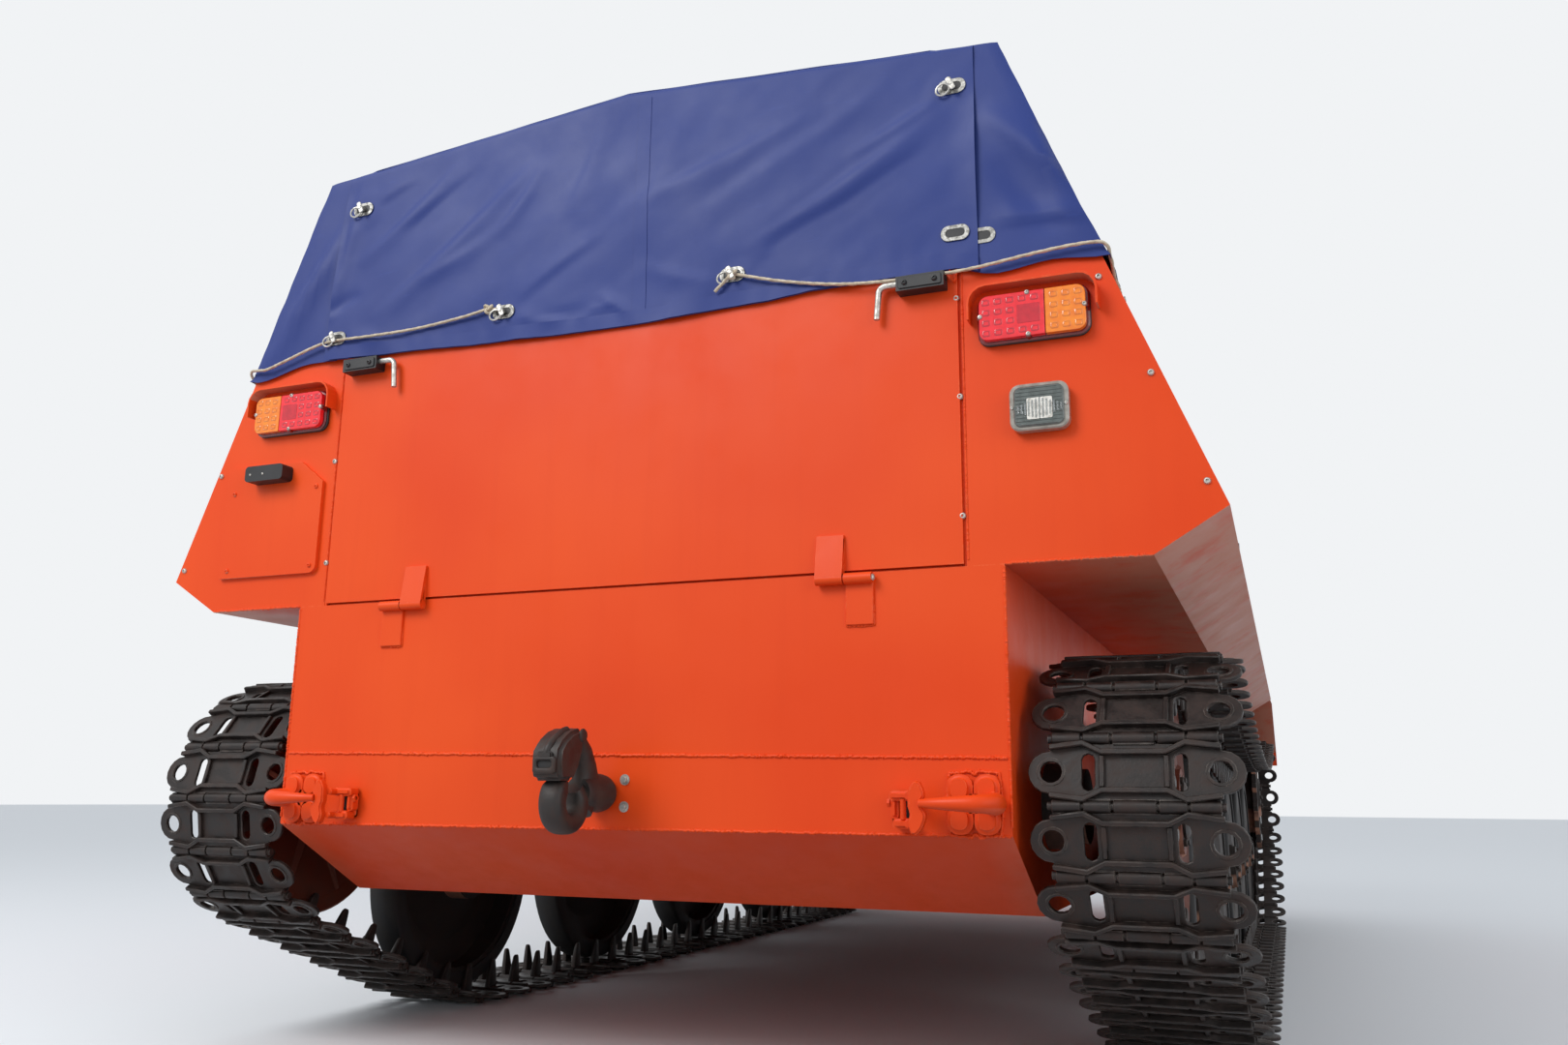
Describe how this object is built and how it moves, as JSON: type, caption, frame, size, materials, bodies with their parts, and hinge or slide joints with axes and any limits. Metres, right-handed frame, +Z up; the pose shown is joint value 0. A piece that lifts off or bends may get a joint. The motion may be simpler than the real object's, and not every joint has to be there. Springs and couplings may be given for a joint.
{
  "type": "tracked all-terrain vehicle",
  "caption": "Light tracked carrier with a sloping-sided steel hull, front cab, drop tailgate and a cloth cover over the load bed, standing on two link tracks.",
  "frame": {"origin": "on the ground, at the middle of the vehicle's length and width", "axes": "+Y forward, +X to the vehicle's right, +Z up"},
  "size_m": [2.58, 5.762, 2.262],
  "materials": {
    "body_paint": "satin orange enamel",
    "bed_steel": "grey floor paint",
    "track_steel": "dark cast manganese steel",
    "wheel_steel": "dark painted pressed steel",
    "idler_steel": "brown weathered paint",
    "tyre": "solid rubber",
    "black_iron": "black forged iron",
    "black_plastic": "black moulded plastic",
    "zinc": "zinc plated",
    "canvas": "blue coated cloth",
    "lamp_lens": "moulded lens",
    "clear_lens": "ribbed lens",
    "glass": "window glass",
    "cab_lining": "grained lining",
    "seat_cover": "black vinyl",
    "engine_paint": "grey engine paint",
    "rope": "laid hemp rope"
  },
  "bodies": {
    "hull": {"hull_tub": "body_paint", "nose_deck": "body_paint", "sponson_left": "body_paint", "sponson_right": "body_paint", "rear_panel_left": "body_paint", "rear_panel_right": "body_paint", "gate_hinges": "body_paint", "load_cover": "canvas", "cover_bows": "bed_steel", "cargo_floor": "bed_steel", "benches": "bed_steel", "cab_roof": "body_paint", "cab_front": "body_paint", "cab_back": "body_paint", "cab_side_left": "body_paint", "cab_side_right": "body_paint", "cab_glass": "glass", "cab_floor": "bed_steel", "engine_block": "engine_paint", "engine_cover": "cab_lining", "seat_bases": "bed_steel", "seats": "seat_cover", "dashboard": "cab_lining", "steering_levers": "zinc", "socket_cover": "body_paint", "cover_rope": "rope", "plate_lamp": "black_plastic", "tail_lamps": "lamp_lens", "lamp_hoods": "body_paint", "reversing_lamp": "clear_lens", "tow_hitch": "black_iron", "hitch_keeper": "black_iron", "tow_hooks": "body_paint", "front_hooks": "body_paint", "headlamps": "black_plastic", "mirrors": "black_plastic", "track_left": "track_steel", "track_right": "track_steel", "road_wheels": "wheel_steel", "wheel_tyres": "tyre", "swing_arms": "wheel_steel", "idlers": "idler_steel", "idler_axles": "wheel_steel", "sprockets": "wheel_steel", "final_drives": "wheel_steel"},
    "tailgate": {"tailgate": "body_paint", "bolt_housings": "black_plastic", "bolt_rods": "zinc"},
    "nose_hatch": {"nose_hatch": "body_paint"},
    "door_right": {"door_right": "body_paint", "door_glass_right": "glass"},
    "door_left": {"door_left": "body_paint", "door_glass_left": "glass"},
    "roof_hatch_right": {"roof_hatch_right": "body_paint"},
    "roof_hatch_left": {"roof_hatch_left": "body_paint"}
  },
  "joints": [
    {"name": "tailgate_hinge", "type": "hinge", "parent": "hull", "child": "tailgate", "pos_m": [0, -2.662, 1.047], "axis": [1, 0, 0], "range_deg": [0, 110]},
    {"name": "nose_hatch_hinge", "type": "hinge", "parent": "hull", "child": "nose_hatch", "pos_m": [0, 2.20166, 1.27787], "axis": [1, 0, 0], "range_deg": [0, 95]},
    {"name": "door_right_hinge", "type": "hinge", "parent": "hull", "child": "door_right", "pos_m": [1.22919, 1.654, 1.32523], "axis": [-0.3641, 0, 0.9313], "range_deg": [0, 75]},
    {"name": "door_left_hinge", "type": "hinge", "parent": "hull", "child": "door_left", "pos_m": [-1.22919, 1.654, 1.32523], "axis": [-0.3641, 0, -0.9313], "range_deg": [0, 75]},
    {"name": "roof_hatch_right_hinge", "type": "hinge", "parent": "hull", "child": "roof_hatch_right", "pos_m": [0.47, 0.854, 2.139], "axis": [1, 0, 0], "range_deg": [0, 110]},
    {"name": "roof_hatch_left_hinge", "type": "hinge", "parent": "hull", "child": "roof_hatch_left", "pos_m": [-0.47, 0.854, 2.139], "axis": [1, 0, 0], "range_deg": [0, 110]}
  ]
}
